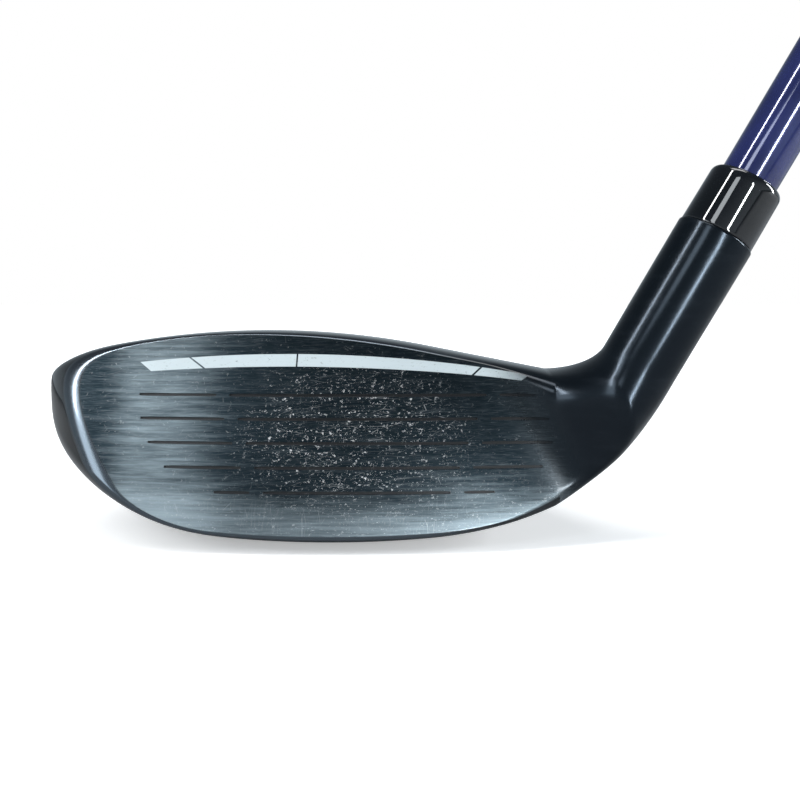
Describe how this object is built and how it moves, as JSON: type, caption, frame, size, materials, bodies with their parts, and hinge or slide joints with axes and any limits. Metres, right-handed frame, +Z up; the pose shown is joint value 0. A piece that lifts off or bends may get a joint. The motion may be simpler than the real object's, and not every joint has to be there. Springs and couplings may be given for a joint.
{
  "type": "hybrid golf club",
  "caption": "Right-handed hybrid golf club: hollow steel head with a lofted, scored face, bonded tapered shaft, ferrule, rubber grip and a screw-in sole weight.",
  "frame": {"origin": "where the sole touches the ground at address, under the middle of the face", "axes": "+Z up, -Y towards the target, +X from the toe towards the heel; the shaft leans towards +X in the plane y = -8 mm"},
  "size_m": [0.5991, 0.0633, 0.8927],
  "materials": {
    "body_satin": "semi-gloss black coating over cast steel",
    "face_steel": "satin dark steel, brushed from heel to toe, with score lines",
    "crown_gloss": "gloss black paint under clear coat",
    "slot_polymer": "matt black urethane",
    "badge_plastic": "smooth dark plastic inlay",
    "tungsten": "dull sintered metal",
    "weight_metal": "turned steel",
    "pad_rubber": "soft rubber",
    "screw_steel": "black-oxide steel",
    "clip_steel": "spring steel",
    "stop_metal": "plain",
    "epoxy": "cured epoxy",
    "brass": "plain",
    "ferrule_gloss": "gloss black",
    "shaft_navy": "gloss dark navy lacquer over graphite",
    "tape": "paper tape",
    "grip_rubber": "matt black moulded rubber",
    "cap_rubber": "matt black moulded rubber"
  },
  "bodies": {
    "club": {"head_body": "body_satin", "face_plate": "face_steel", "crown_plate": "crown_gloss", "slot_insert": "slot_polymer", "sole_badge": "badge_plastic", "toe_mass": "tungsten", "hosel_stop": "stop_metal", "bond_epoxy": "epoxy", "tip_weight": "brass", "ferrule": "ferrule_gloss", "shaft": "shaft_navy", "grip_tape": "tape", "grip_sleeve": "grip_rubber", "grip_cap": "cap_rubber"},
    "weight": {"sole_weight": "weight_metal", "weight_pad": "pad_rubber"},
    "screw": {"weight_screw": "screw_steel", "weight_clip": "clip_steel"}
  },
  "joints": [
    {"name": "weight_slide", "type": "slide", "parent": "club", "child": "weight", "axis": [0, 0.2588, -0.9659], "range_m": [0, 0.006]},
    {"name": "screw_turn", "type": "hinge", "parent": "weight", "child": "screw", "pos_m": [0, 0.028, 0.00274], "axis": [0, 0.2588, -0.9659], "range_deg": [0, 2160]}
  ],
  "couplings": [
    {"joint": "screw_turn", "follows": "weight_slide", "rad_per_m": 6283.1}
  ]
}
